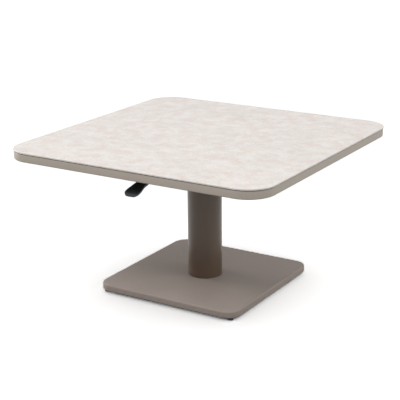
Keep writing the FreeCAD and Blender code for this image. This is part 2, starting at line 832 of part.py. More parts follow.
# ---------------------------------------------------------------------------------------------
# Release head, valve pin and hand lever
# ---------------------------------------------------------------------------------------------
def make_release_head():
    """Cast head that plugs the inner column and holds the lever over the valve pin."""
    body = new_body("release_head")
    profile = new_sketch(body, "profile", "XZ_Plane")
    bore = "rod_radius + screw_clearance"
    spigot = "inner_bore - screw_clearance"
    add_polygon(profile, [
        (bore, "spigot_bottom"),
        (spigot, "spigot_bottom"),
        (spigot, "head_bottom"),
        ("head_radius", "head_bottom"),
        ("head_radius", "head_top"),
        ("cavity_radius", "head_top"),
        ("cavity_radius", "cavity_floor"),
        (bore, "cavity_floor"),
    ])
    revolve(body, profile)
    rim_radius = value("head_radius")
    chamfer(body, "head_chamfer", lambda edge: (
        lies_at("head_bottom")(edge) and abs(edge.BoundBox.XMax - rim_radius) < 1e-3))
    slot = new_sketch(body, "lever_slot", level="head_top")
    half = "lever_slot / 2"
    add_rectangle(slot, f"-1 * {half}", half, "-1 * head_radius - pin_gap", "0")
    pocket(body, slot, "head_top - arm_level + arm_half + pin_gap")
    well = new_sketch(body, "nose_well", level="head_top")
    add_rectangle(well, f"-1 * {half}", half, "-1 * pivot_offset", "0")
    pocket(body, well, "cavity_depth")
    pivot = new_sketch(body, "pivot_hole", "YZ_Plane")
    add_circle(pivot, "pivot_radius + screw_clearance", "-1 * pivot_offset", "arm_level")
    pocket(body, pivot, "2 * head_radius", midplane=True)
    holes = new_sketch(body, "screw_holes", level="head_top")
    add_circle(holes, "medium_screw_radius + screw_clearance", "0", "head_screw_circle")
    repeat(body, pocket(body, holes), "head_screw_count")
    clamp = new_sketch(body, "clamp_hole", "YZ_Plane", "flute_floor - clamp_screw_depth")
    add_circle(clamp, "set_screw_radius + screw_clearance", "0", "head_bottom - clamp_screw_drop")
    repeat(body, pocket(body, clamp, "clamp_screw_depth", upward=True), "flute_count")
    places = round_circle("head_screw_circle", "head_screw_count", "90")
    length = "head_flange + mount_plate_thickness"
    group("head_screws", [
        screw(f"head_screw_{number}", "medium", "head_bottom", length, x, y)
        for number, (x, y) in enumerate(places)
    ])


def make_release_pin():
    """Round-nosed valve pin that slides in the end of the gas spring's rod."""
    shank = cylinder("pin_shank", "pin_radius", "pin_top - pin_bottom - pin_radius",
                     z="pin_bottom")
    nose = doc.addObject("Part::Sphere", "pin_nose")
    bind(nose, "Radius", "pin_radius")
    place(nose, z="pin_top - pin_radius")
    item = doc.addObject("Part::Fuse", "release_pin")
    item.Label = "release_pin"
    item.Base = shank
    item.Tool = nose
    parts.append(item)


def make_release_arm():
    """Flat steel arm: level over the pin, sloping out under the top, then down into the grip."""
    body = new_body("release_arm")
    side = new_sketch(body, "side", "YZ_Plane")
    mitre_y = "mitre_half * sin(mean_slope)"
    mitre_z = "mitre_half * cos(mean_slope)"
    end_y = "arm_half * sin(paddle_slope)"
    end_z = "arm_half * cos(paddle_slope)"
    add_polygon(side, [
        ("nose_reach", "arm_level - arm_half"),
        ("nose_reach", "arm_level + arm_half"),
        ("-1 * arm_bend_reach", "arm_level + arm_half"),
        (f"-1 * paddle_reach - {mitre_y}", f"paddle_level + {mitre_z}"),
        (f"-1 * tang_end_reach - {end_y}", f"tang_end_level + {end_z}"),
        (f"-1 * tang_end_reach + {end_y}", f"tang_end_level - {end_z}"),
        (f"-1 * paddle_reach + {mitre_y}", f"paddle_level - {mitre_z}"),
        ("-1 * arm_bend_reach", "arm_level - arm_half"),
    ])
    pad(body, side, "arm_width", midplane=True)
    pivot = new_sketch(body, "pivot_hole", "YZ_Plane")
    add_circle(pivot, "pivot_radius + running_clearance", "-1 * pivot_offset", "arm_level")
    pocket(body, pivot, "2 * arm_width", midplane=True)
    pins = new_sketch(body, "tang_holes", "YZ_Plane")
    for along in ("tang_pin_first", "tang_pin_second"):
        add_circle(pins, "tang_pin_radius + screw_clearance",
                   f"-1 * paddle_reach - {along} * cos(paddle_slope)",
                   f"paddle_level - {along} * sin(paddle_slope)")
    pocket(body, pins, "2 * arm_width", midplane=True)


def make_lever_paddle():
    """Moulded grip: a thick neck round the arm that thins to a flared blade with a turned nose."""
    body = new_body("lever_paddle")
    side = new_sketch(body, "side", "YZ_Plane")
    add_polygon(side, [
        ("0", "blade_top"),
        ("-1 * nose_from_root", "blade_top"),
        ("-1 * paddle_length - nose_length / 2", "blade_top - 1.5 * nose_drop"),
        ("-1 * paddle_length - nose_length / 2", "blade_bottom - 1.5 * nose_dip"),
        ("-1 * nose_from_root", "blade_bottom"),
        ("-1 * blade_from_root", "blade_bottom"),
        ("-1 * neck_length", "-1 * blade_top"),
        ("0", "-1 * blade_top"),
    ])
    pad(body, side, "2 * paddle_tip_width", midplane=True)

    def across_at(reach, level):
        def test(edge):
            box = edge.BoundBox
            near = abs(box.YMin - value(reach)) < 1e-3 and abs(box.ZMin - value(level)) < 1e-3
            return near and box.XLength > 1
        return test
    for reach, level in (
        ("-1 * nose_from_root", "blade_top"),
        ("-1 * nose_from_root", "blade_bottom"),
        ("-1 * blade_from_root", "blade_bottom"),
        ("-1 * neck_length", "-1 * blade_top"),
    ):
        fillet(body, "nose_radius", across_at(reach, level))
    outline = new_sketch(body, "outline", level="blade_top")
    root = "paddle_root_width / 2"
    tip = "paddle_tip_width / 2"
    flare = "-1 * flare_from_root"
    shoulder = "-1 * flare_from_root - flare_length"
    add_rectangle(outline, "-2 * paddle_tip_width", "2 * paddle_tip_width",
                  "-2 * paddle_length", "paddle_tip_width")
    add_polygon(outline, [
        (f"-1 * {tip}", "-1 * paddle_length"),
        (tip, "-1 * paddle_length"),
        (tip, shoulder),
        (root, flare),
        (root, "nose_length"),
        (f"-1 * {root}", "nose_length"),
        (f"-1 * {root}", flare),
        (f"-1 * {tip}", shoulder),
    ])
    pocket(body, outline)

    def upright_at(reach):
        def test(edge):
            box = edge.BoundBox
            return box.ZLength > 1 and abs(box.YMin - value(reach)) < 1e-3 and box.YLength < 1e-3
        return test
    fillet(body, "paddle_tip_radius", upright_at("-1 * paddle_length"))
    fillet(body, "flare_radius", upright_at(shoulder))
    fillet(body, "flare_radius", upright_at(flare))
    end = value("-1 * paddle_length")

    def rim(edge):
        box = edge.BoundBox
        return box.YLength > 0.01 or (box.YMin < end + 1e-3 and box.XLength > 1)
    fillet(body, "paddle_edge_radius", rim)
    socket = new_sketch(body, "socket", "XZ_Plane")
    wide = "(arm_width / 2 + screw_clearance)"
    high = "(mitre_half + tang_clearance)"
    add_rectangle(socket, f"-1 * {wide}", wide, f"-1 * {high}", high)
    pocket(body, socket, "tang_length + screw_clearance", upward=True)
    dish = new_sketch(body, "finger_dish", level="blade_bottom")
    grip = "grip_width / 2"
    add_rectangle(dish, f"-1 * {grip}", grip, "-1 * blade_from_root - grip_inset - grip_length",
                  "-1 * blade_from_root - grip_inset")
    pocket(body, dish, "grip_depth", upward=True)
    pins = new_sketch(body, "pin_holes", "YZ_Plane")
    for along in ("tang_pin_first", "tang_pin_second"):
        add_circle(pins, "tang_pin_radius + screw_clearance", f"-1 * {along}", "0")
    pocket(body, pins, "2 * paddle_tip_width", midplane=True)
    body.Placement = FreeCAD.Placement(Vector(), FreeCAD.Rotation(Vector(1, 0, 0), 1))
    bind(body, "Placement.Rotation.Angle", "paddle_slope")
    place(body, y="-1 * paddle_reach", z="paddle_level")


def cross_pin(name, radius, length, y, z):
    """A round pin along X, centred on the lever's middle plane."""
    pin = doc.addObject("Part::Cylinder", name)
    pin.Label = name
    bind(pin, "Radius", radius)
    bind(pin, "Height", length)
    pin.Placement = FreeCAD.Placement(Vector(), FreeCAD.Rotation(Vector(0, 1, 0), 90))
    place(pin, f"-1 * {length} / 2", y, z)
    return pin


def make_lever_pins():
    """The lever's pivot in the head, and the two pins that hold the grip on the arm."""
    parts.append(cross_pin("lever_pivot_pin", "pivot_radius", "pivot_length",
                           "-1 * pivot_offset", "arm_level"))
    pins = []
    for along in ("tang_pin_first", "tang_pin_second"):
        pins.append(cross_pin(f"paddle_{along}", "tang_pin_radius", "paddle_root_width",
                              f"-1 * paddle_reach - {along} * cos(paddle_slope)",
                              f"paddle_level - {along} * sin(paddle_slope)"))
    group("paddle_pins", pins)


# ---------------------------------------------------------------------------------------------
# Table top
# ---------------------------------------------------------------------------------------------
def make_mounting_plate():
    """Waisted steel plate between the release head and the cross bars."""
    body = new_body("mounting_plate")
    outline = new_sketch(body, "outline", level="head_top")
    add_rounded_square(outline, "mount_plate_side", "mount_plate_corner")
    pad(body, outline, "mount_plate_thickness")
    waist = new_sketch(body, "waist", level="bar_bottom")
    add_circle(waist, "mount_waist_radius", "0", "waist_centre")
    repeat(body, pocket(body, waist), "4")
    centre = new_sketch(body, "centre_hole", level="bar_bottom")
    add_circle(centre, "mount_centre_hole")
    pocket(body, centre)
    holes = new_sketch(body, "head_holes", level="bar_bottom")
    add_circle(holes, "medium_screw_radius + screw_clearance", "0", "head_screw_circle")
    repeat(body, pocket(body, holes), "head_screw_count")
    bars = new_sketch(body, "bar_holes", level="bar_bottom")
    for x, y in bar_screw_places():
        add_circle(bars, "medium_screw_radius + screw_clearance", x, y)
    pocket(body, bars)


def bar_screw_places():
    """Two screws near each corner of the mounting plate, on the centre line of its bar."""
    return [
        (f"{side} * bar_centre", f"{end} * {reach}")
        for side in (-1, 1)
        for end in (-1, 1)
        for reach in ("bar_screw_inner", "bar_screw_outer")
    ]


def runs_along_tube(levels):
    """A test for the long edges of a cross bar that lie at given heights."""
    heights = [value(level) for level in levels]

    def test(edge):
        box = edge.BoundBox
        flat = box.ZLength < 1e-3 and box.XLength < 1e-3 and box.YLength > 1
        return flat and any(abs(box.ZMin - height) < 1e-3 for height in heights)
    return test


def make_bars():
    """Two rectangular tubes that carry the top between the sides of the edge profile."""
    for name, side in (("crossbar_left", -1), ("crossbar_right", 1)):
        body = new_body(name)
        section = new_sketch(body, "section", "XZ_Plane")
        near = f"{side} * bar_centre - bar_width / 2"
        far = f"{side} * bar_centre + bar_width / 2"
        add_rectangle(section, near, far, "bar_bottom", "panel_bottom")
        add_rectangle(section, f"{near} + bar_wall", f"{far} - bar_wall",
                      "bar_bottom + bar_wall", "panel_bottom - bar_wall")
        pad(body, section, "ledge_side", midplane=True)
        fillet(body, "bar_corner_radius", runs_along_tube(("bar_bottom", "panel_bottom")))
        fillet(body, "bar_corner_radius - bar_wall", runs_along_tube(
            ("bar_bottom + bar_wall", "panel_bottom - bar_wall")))
        holes = new_sketch(body, "screw_holes", level="bar_bottom")
        for x, y in bar_screw_places():
            if x.startswith(f"{side} "):
                add_circle(holes, "medium_screw_radius + screw_clearance", x, y)
        pocket(body, holes, "bar_wall", upward=True)
    length = "mount_plate_thickness + bar_wall + bar_screw_reach"
    group("bar_screws", [
        screw(f"bar_screw_{number}", "medium", "head_top", length, x, y)
        for number, (x, y) in enumerate(bar_screw_places())
    ])


def make_perimeter_frame():
    """Edge profile bent round the top: a tall wall, a ledge for the panel and a lower lip."""
    body = new_body("perimeter_frame")
    outline = new_sketch(body, "outline", level="frame_bottom")
    add_rounded_square(outline, "frame_side", "frame_corner")
    pad(body, outline, "frame_height")
    fillet(body, "frame_edge_radius", lies_at("frame_bottom"))
    steps = [
        ("seat", "frame_top", "panel_bottom", "seat_side", "seat_corner"),
        ("ledge", "panel_bottom", "ledge_bottom", "ledge_side", "ledge_corner"),
        ("chamber", "ledge_bottom", "lip_top", "seat_side", "seat_corner"),
        ("lip", "lip_top", "frame_bottom", "lip_side", "lip_corner"),
    ]
    for name, upper, lower, side, corner in steps:
        opening = new_sketch(body, name, level=upper)
        add_rounded_square(opening, side, corner)
        pocket(body, opening, f"{upper} - ({lower})")
    seat_reach = value("seat_side / 2")

    def chamber_foot(edge):
        box = edge.BoundBox
        reach = max(abs(box.XMin), abs(box.XMax), abs(box.YMin), abs(box.YMax))
        return lies_at("lip_top")(edge) and abs(reach - seat_reach) < 1e-3
    fillet(body, "frame_edge_radius - frame_wall", chamber_foot)
    holes = new_sketch(body, "screw_holes", level="panel_bottom")
    for x, y in panel_screw_places():
        add_circle(holes, "small_screw_radius + screw_clearance", x, y)
    pocket(body, holes, "ledge_thickness")


def panel_screw_places():
    """Two screws along each side of the ledge."""
    line = "panel_screw_line"
    offset = "panel_screw_offset"
    along_x = [(f"{side} * {line}", f"{end} * {offset}") for side in (-1, 1) for end in (-1, 1)]
    along_y = [(f"{end} * {offset}", f"{side} * {line}") for side in (-1, 1) for end in (-1, 1)]
    return along_x + along_y


def make_support_panel():
    """Flat core panel that lies on the ledge and backs the thin sheet."""
    body = new_body("support_panel")
    outline = new_sketch(body, "outline", level="panel_bottom")
    add_rounded_square(outline, "seat_side - 2 * panel_clearance", "seat_corner - panel_clearance")
    pad(body, outline, "panel_thickness")
    holes = new_sketch(body, "screw_holes", level="panel_bottom")
    for x, y in panel_screw_places():
        add_circle(holes, "small_screw_radius + screw_clearance", x, y)
    pocket(body, holes, "panel_screw_grip", upward=True)
    length = "ledge_thickness + panel_screw_grip"
    group("panel_screws", [
        screw(f"panel_screw_{number}", "small", "ledge_bottom", length, x, y)
        for number, (x, y) in enumerate(panel_screw_places())
    ])


def make_top_sheet():
    """Thin stone-like sheet with an eased upper edge."""
    body = new_body("top_sheet")
    outline = new_sketch(body, "outline", level="sheet_bottom")
    add_rounded_square(outline, "top_side", "top_corner_radius")
    pad(body, outline, "sheet_thickness")
    chamfer(body, "sheet_edge_chamfer", lies_at("sheet_bottom + sheet_thickness"))


# ---------------------------------------------------------------------------------------------
# Build, check and write
# ---------------------------------------------------------------------------------------------
make_base_plate()
make_base_cover()
make_cover_standoffs()
make_column_flange()
make_flange_screws()
make_glides()
make_outer_column()
make_upper_guide_bush()
radial_pins("bush_screws", "flute_count", "set_screw_radius", "bush_screw_depth",
            "outer_radius", "outer_top - bush_screw_drop")
make_inner_column()
make_lower_guide_ring()
radial_pins("clamp_screws", "flute_count", "set_screw_radius", "clamp_screw_depth",
            "flute_floor", "head_bottom - clamp_screw_drop")
make_gas_spring()
make_release_head()
make_release_pin()
make_release_arm()
make_lever_paddle()
make_lever_pins()
make_mounting_plate()
make_bars()
make_perimeter_frame()
make_support_panel()
make_top_sheet()
doc.recompute()

for item in doc.Objects:
    if "Invalid" in item.State or "Error" in item.State:
        raise RuntimeError(f"{item.Name} did not build: {item.State}")
for part in parts:
    if part.Shape.isNull() or not part.Shape.isValid():
        raise RuntimeError(f"{part.Label} has no valid shape")

os.makedirs("parts", exist_ok=True)
for part in parts:
    part.Shape.exportStep(f"parts/{part.Label}.step")
    box = part.Shape.BoundBox
    solids = len(part.Shape.Solids)
    print(f"{part.Label}: {solids} solid(s), {part.Shape.Volume / 1000:.1f} cm3, "
          f"z {box.ZMin:.2f} to {box.ZMax:.2f}")
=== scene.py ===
# %% [markdown]
# # A square lounge table on a telescoping pedestal
# The table has a thin stone-look sheet on a powder-coated edge profile, a round gas-lift column,
# a flat weighted base and a black hand lever. The CAD model holds every piece at its true place.
# This file gives the pieces their finish, and remakes the few large ones whose edges catch the
# light.

import math

import bmesh
import bpy
from mathutils import Matrix, Vector


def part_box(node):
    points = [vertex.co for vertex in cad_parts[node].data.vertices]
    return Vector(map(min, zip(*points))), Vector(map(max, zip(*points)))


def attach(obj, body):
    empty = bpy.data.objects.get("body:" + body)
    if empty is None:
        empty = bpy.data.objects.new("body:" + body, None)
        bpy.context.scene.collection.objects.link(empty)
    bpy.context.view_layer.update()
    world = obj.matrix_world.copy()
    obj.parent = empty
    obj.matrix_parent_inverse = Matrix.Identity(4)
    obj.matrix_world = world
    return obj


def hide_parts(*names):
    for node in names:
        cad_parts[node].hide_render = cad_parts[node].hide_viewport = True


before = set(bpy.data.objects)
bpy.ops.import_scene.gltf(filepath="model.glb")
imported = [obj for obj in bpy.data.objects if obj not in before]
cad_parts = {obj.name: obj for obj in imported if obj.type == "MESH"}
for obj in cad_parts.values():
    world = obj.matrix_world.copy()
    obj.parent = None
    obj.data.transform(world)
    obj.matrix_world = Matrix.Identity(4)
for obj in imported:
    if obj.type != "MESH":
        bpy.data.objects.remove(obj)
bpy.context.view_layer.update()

# %% [markdown]
# ## Lengths and colours
# A drawing gives millimetres and a paint card gives sRGB hex values, while Blender wants metres
# and linear colour. Two small functions turn one into the other, so that the rest of the file can
# speak the maker's language.

# %% Units
MM = 0.001


def linear(hex_colour):
    """An sRGB hex value as the linear RGBA that Blender's sockets take."""
    levels = [int(hex_colour[place:place + 2], 16) / 255 for place in (0, 2, 4)]
    bent = [((c + 0.055) / 1.055) ** 2.4 if c > 0.04045 else c / 12.92 for c in levels]
    return (*bent, 1.0)


def per_metre(size_mm):
    """The scale that makes a texture repeat once in so many millimetres."""
    return 1.0 / (size_mm * MM)


print("mid grey 808080 is", round(linear("808080")[0], 3), "in linear light")

# %% [markdown]
# ## The outline of the top and the base
# Both are squares with round corners, seen from above. One function walks round such an outline
# and gives the same number of points for any size, so that outlines of different sizes can be
# joined by quads. The points crowd at the corners, where the form bends.

# %% A rounded square
CORNER_STEPS = 24
SIDE_STEPS = 8


def rounded_square(side, radius, z):
    """Points round a square with round corners, anticlockwise from the middle of its +X side."""
    half = side / 2
    inner = half - radius
    points = []
    for turn in range(4):
        spin = Matrix.Rotation(math.radians(90 * turn), 3, "Z")
        for step in range(SIDE_STEPS):
            points.append(spin @ Vector((half, inner * step / SIDE_STEPS, z)))
        for step in range(CORNER_STEPS):
            angle = math.radians(90 * step / CORNER_STEPS)
            corner = Vector((math.cos(angle), math.sin(angle), 0)) * radius
            points.append(spin @ (Vector((inner, inner, z)) + corner))
        for step in range(SIDE_STEPS):
            points.append(spin @ Vector((inner - inner * step / SIDE_STEPS, half, z)))
    return points


def circle(radius, z, count):
    """Points round a circle, starting on +X like the square does."""
    angles = [math.tau * step / count for step in range(count)]
    return [Vector((radius * math.cos(a), radius * math.sin(a), z)) for a in angles]


OUTLINE_POINTS = len(rounded_square(1, 0.1, 0))
print("points round an outline:", OUTLINE_POINTS)

# %% [markdown]
# ## From outlines to a surface
# A profile that runs round the top is made the way an extruder would draw it: as a section, here
# a list of outlines. Joining each outline to the next with quads gives the surface. Smooth
# shading with sharp edges kept above 35 degrees lets the small rounds shine without faceting.

# %% Join outlines
SHARP_ANGLE = math.radians(35)


def finish_mesh(piece, body, *nodes):
    """Shade the piece, hang it on its body and let it stand for its CAD nodes."""
    piece.data.shade_smooth()
    piece.data.set_sharp_from_angle(angle=SHARP_ANGLE)
    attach(piece, body)
    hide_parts(*nodes)
    print(piece.name, len(piece.data.polygons), "faces")
    return piece


def join_outlines(name, outlines, closed=False, capped=False):
    """A mesh through a list of outlines that all have the same number of points."""
    form = bmesh.new()
    rings = [[form.verts.new(point) for point in outline] for outline in outlines]
    pairs = list(zip(rings, rings[1:]))
    if closed:
        pairs.append((rings[-1], rings[0]))
    for low, high in pairs:
        for here in range(len(low)):
            after = (here + 1) % len(low)
            form.faces.new((low[here], low[after], high[after], high[here]))
    if capped:
        form.faces.new(reversed(rings[0]))
        form.faces.new(rings[-1])
    bmesh.ops.recalc_face_normals(form, faces=form.faces)
    mesh = bpy.data.meshes.new(name)
    form.to_mesh(mesh)
    form.free()
    piece = bpy.data.objects.new(name, mesh)
    bpy.context.scene.collection.objects.link(piece)
    return piece


LOWER = -90
UPPER = 0


def rounded(inset, z, radius, start, steps=4):
    """The LOWER or UPPER quarter round of an outer edge in a section, from below to above."""
    angles = [math.radians(start + 90 * step / steps) for step in range(steps + 1)]
    return [(inset - radius * math.cos(a), z + radius * math.sin(a)) for a in angles]


# %% [markdown]
# ## The top sheet
# A thin sheet of sintered stone is cut to shape and its upper edge is eased with a diamond pad,
# so that it doesn't chip. That eased edge is under a millimetre wide, yet it draws the fine light
# line round the table, so it is modelled as a real quarter round.

# %% Top sheet
sheet_low, sheet_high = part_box("top_sheet")
TOP_SIDE = sheet_high.x - sheet_low.x
TOP_CORNER = 86 * MM
SHEET_EASE = 0.9 * MM
SHEET_RIM = 4 * SHEET_EASE


def top_section(section, side, corner):
    """Outlines for a section given as pairs of inset from the outer face and height."""
    return [rounded_square(side - 2 * inset, corner - inset, z) for inset, z in section]


sheet_section = [(SHEET_EASE, sheet_low.z), (0, sheet_low.z + SHEET_EASE / 2)]
sheet_section += rounded(SHEET_EASE, sheet_high.z - SHEET_EASE, SHEET_EASE, UPPER)
sheet_section.append((SHEET_RIM, sheet_high.z))
top_sheet = join_outlines("stone_top_sheet", top_section(sheet_section, TOP_SIDE, TOP_CORNER),
                          capped=True)
finish_mesh(top_sheet, "lift_top", "top_sheet")

# %% [markdown]
# ## The edge profile
# An aluminium extrusion is bent round the top and powder coated. Its section has a tall outer
# wall that turns under in a small soft round, a ledge that carries the core panel, and a lip
# below that stiffens it. It stands a little inside the sheet and stops short of it, and the thin
# shadow line that this leaves makes the sheet look as if it floats.

# %% Edge profile
edge_low, edge_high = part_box("perimeter_frame")
EDGE_SIDE = edge_high.x - edge_low.x
SHEET_OVERHANG = (TOP_SIDE - EDGE_SIDE) / 2
EDGE_CORNER = TOP_CORNER - SHEET_OVERHANG
EDGE_WALL = 3 * MM
EDGE_UNDER_ROUND = 3.5 * MM
UNDER_ROUND_STEPS = 10
CHAMBER_STEPS = 6
EDGE_EASE = 0.6 * MM
LEDGE_WIDTH = 25 * MM
LEDGE_THICKNESS = 3 * MM
LIP_WIDTH = 15 * MM
LIP_THICKNESS = 3 * MM
panel_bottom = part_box("support_panel")[0].z
round_middle = edge_low.z + EDGE_UNDER_ROUND
lip_top = edge_low.z + LIP_THICKNESS
ledge_bottom = panel_bottom - LEDGE_THICKNESS

edge_section = [
    (EDGE_WALL, edge_high.z),
    (EDGE_WALL, panel_bottom),
    (EDGE_WALL + LEDGE_WIDTH, panel_bottom),
    (EDGE_WALL + LEDGE_WIDTH, ledge_bottom),
    (EDGE_WALL, ledge_bottom),
]
chamber_round = rounded(EDGE_UNDER_ROUND, round_middle, EDGE_UNDER_ROUND - EDGE_WALL, LOWER,
                        CHAMBER_STEPS)
edge_section += reversed(chamber_round)
edge_section += [(EDGE_WALL + LIP_WIDTH, lip_top), (EDGE_WALL + LIP_WIDTH, edge_low.z)]
edge_section += rounded(EDGE_UNDER_ROUND, round_middle, EDGE_UNDER_ROUND, LOWER,
                        UNDER_ROUND_STEPS)
edge_section += rounded(EDGE_EASE, edge_high.z - EDGE_EASE, EDGE_EASE, UPPER)
edge_profile = join_outlines("edge_profile", top_section(edge_section, EDGE_SIDE, EDGE_CORNER),
                             closed=True)
finish_mesh(edge_profile, "lift_top", "perimeter_frame")
print("shadow gap in mm:", round((sheet_low.z - edge_high.z) / MM, 2))

# %% [markdown]
# ## The base cover
# The cover is pressed from sheet steel, so its upper edge is a soft round. Its rim is rolled in
# below, where a sharp edge would catch a shoe, and stops a little above the underside of the
# plate, so that the cover never rubs on the floor. Its flat face runs into the column without a
# step. A ring of quads joins the square outline to the hole for the column.

# %% Base cover
cover_low, cover_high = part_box("base_cover")
COVER_SIDE = cover_high.x - cover_low.x
COVER_CORNER = 45 * MM
COVER_ROUND = 5 * MM
COVER_ROUND_STEPS = 8
COVER_FLAT = 2 * COVER_ROUND
RIM_ROUND = 2.4 * MM
RIM_ROUND_STEPS = 6
RIM_LIFT = 2.5 * MM
COVER_WALL = 2 * MM
column_low, column_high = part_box("outer_column")
COLUMN_RADIUS = (column_high.x - column_low.x) / 2
COLUMN_GAP = 0.3 * MM
inner_top = cover_high.z - COVER_WALL

rim_middle = cover_low.z + RIM_LIFT + RIM_ROUND
outside = rounded(RIM_ROUND, rim_middle, RIM_ROUND, LOWER, RIM_ROUND_STEPS)
outside += rounded(COVER_ROUND, cover_high.z - COVER_ROUND, COVER_ROUND, UPPER,
                   COVER_ROUND_STEPS)
outside.append((COVER_FLAT, cover_high.z))
inside = [(COVER_FLAT, inner_top), (COVER_ROUND, inner_top),
          (COVER_WALL, inner_top - COVER_ROUND + COVER_WALL)]
rim_inside = rounded(RIM_ROUND, rim_middle, RIM_ROUND - COVER_WALL, LOWER, RIM_ROUND_STEPS)
inside += reversed(rim_inside)
cover_rings = top_section(outside, COVER_SIDE, COVER_CORNER)
cover_rings.append(circle(COLUMN_RADIUS + COLUMN_GAP, cover_high.z, OUTLINE_POINTS))
cover_rings.append(circle(COLUMN_RADIUS + COLUMN_GAP, inner_top, OUTLINE_POINTS))
cover_rings += top_section(inside, COVER_SIDE, COVER_CORNER)
base_cover = join_outlines("base_cover_shell", cover_rings, closed=True)
finish_mesh(base_cover, "base", "base_cover")

# %% [markdown]
# ## The column
# A round steel tube needs enough sides that its outline reads as a true curve against a white
# background. Its bore stays open, because the inner column slides in it. Where the tube meets the
# cover it is turned down a little, as a lathe leaves it, and that groove draws the thin dark line
# round the foot of the column.

# %% Column
COLUMN_WALL = 3 * MM
TUBE_EASE = 0.5 * MM
GROOVE_HEIGHT = 2.2 * MM
GROOVE_DEPTH = 1.2 * MM
outer = COLUMN_RADIUS
bore = COLUMN_RADIUS - COLUMN_WALL
groove_top = cover_high.z + GROOVE_HEIGHT
column_rings = [circle(radius, z, OUTLINE_POINTS) for radius, z in [
    (bore, column_low.z),
    (outer, column_low.z),
    (outer, cover_high.z - TUBE_EASE),
    (outer - GROOVE_DEPTH, cover_high.z),
    (outer - GROOVE_DEPTH, groove_top - TUBE_EASE),
    (outer, groove_top),
    (outer, column_high.z - TUBE_EASE),
    (outer - TUBE_EASE, column_high.z),
    (bore, column_high.z),
]]
column = join_outlines("column_tube", column_rings, closed=True)
finish_mesh(column, "base", "outer_column")

# %% [markdown]
# ## A node at a time
# Every finish below is built from shader nodes. One function adds a node, sets what it is told
# and links what it is given, so that each material reads as a recipe.

# %% Node helper


def add(tree, kind, inputs=None, **settings):
    """Add a shader node. An input is either a plain value or the socket that feeds it."""
    node = tree.nodes.new(kind)
    for name, setting in settings.items():
        setattr(node, name, setting)
    for name, given in (inputs or {}).items():
        if isinstance(given, bpy.types.NodeSocket):
            tree.links.new(given, node.inputs[name])
        else:
            node.inputs[name].default_value = given
    return node


def new_material(name):
    """An empty node material, its tree and a texture point in the object's own metres."""
    material = bpy.data.materials.new(name)
    material.use_nodes = True
    tree = material.node_tree
    tree.nodes.clear()
    place = add(tree, "ShaderNodeTexCoord").outputs["Object"]
    return material, tree, place


def close_material(tree, inputs):
    """End a material in one Principled shader with the given inputs."""
    shader = add(tree, "ShaderNodeBsdfPrincipled", inputs)
    add(tree, "ShaderNodeOutputMaterial", {"Surface": shader.outputs["BSDF"]})


print("materials that came with the CAD model:", len(bpy.data.materials))

# %% [markdown]
# ## Sintered stone
# The sheet is pressed from mineral powder and fired, then brushed to a soft matt. It gives the
# eye a warm off-white with hand-wide clouds, and in them blotches two fingers wide that turn from
# a faint pink over cream to near white, as layers of coloured powder do. A very fine grain breaks
# the gloss. Noises of these sizes are multiplied, because each powder takes away some of the
# light.

# %% Sintered stone
STONE_POWDERS = [  # the size in mm, then pairs of noise level and colour
    (110, (0.36, "dfdcd9"), (0.64, "e4e0dd")),
    (45, (0.36, "f7ece9"), (0.49, "faf6f3"), (0.6, "fffefd")),
    (7, (0.35, "f4f3f2"), (0.6, "ffffff")),
]
STONE_GRAIN_MM = 2.2


def sintered_stone():
    """Powders of several sizes over one another, under a fine matt grain."""
    material, tree, place = new_material("sintered_stone")
    colour = None
    for size_mm, *stops in STONE_POWDERS:
        noise = add(tree, "ShaderNodeTexNoise", {"Vector": place, "Scale": per_metre(size_mm),
                                                 "Detail": 5.0, "Roughness": 0.62})
        ramp = add(tree, "ShaderNodeValToRGB", {"Fac": noise.outputs["Fac"]})
        points = ramp.color_ramp.elements
        while len(points) < len(stops):
            points.new(0.5)
        for point, (level, tint) in zip(points, stops):
            point.position = level
            point.color = linear(tint)
        powder = ramp.outputs["Color"]
        if colour:
            powder = add(tree, "ShaderNodeMix", {"Factor": 1.0, "A": colour, "B": powder},
                         data_type="RGBA", blend_type="MULTIPLY").outputs["Result"]
        colour = powder
    grain = add(tree, "ShaderNodeTexNoise", {"Vector": place, "Scale": per_metre(STONE_GRAIN_MM),
                                             "Detail": 3.0, "Roughness": 0.7})
    rough = add(tree, "ShaderNodeMapRange",
                {"Value": grain.outputs["Fac"], "To Min": 0.42, "To Max": 0.56})
    bump = add(tree, "ShaderNodeBump", {"Height": grain.outputs["Fac"], "Strength": 0.12,
                                        "Distance": 0.1 * MM})
    close_material(tree, {"Base Color": colour, "Roughness": rough.outputs["Result"],
                          "Normal": bump.outputs["Normal"], "IOR": 1.5})
    return material


stone = sintered_stone()
print(stone.name, "in powders of", [powder[0] for powder in STONE_POWDERS], "mm")

# %% [markdown]
# ## Powder coat
# The metal parts are sprayed with dry polyester powder and baked. That gives an even satin skin
# with a very fine orange peel, 1.6 mm from crest to crest, and a faint speckle where the powder
# flowed unevenly. It shows no metal, so it is a plastic-like coat over everything: metallic 0 and
# an IOR of 1.5. One recipe serves every coated part, with its own two tones and its own gloss.

# %% Powder coat
PEEL_MM = 1.6
SPECKLE_MM = 0.9
HAZE_MM = 120
COAT_SPREAD = 0.05


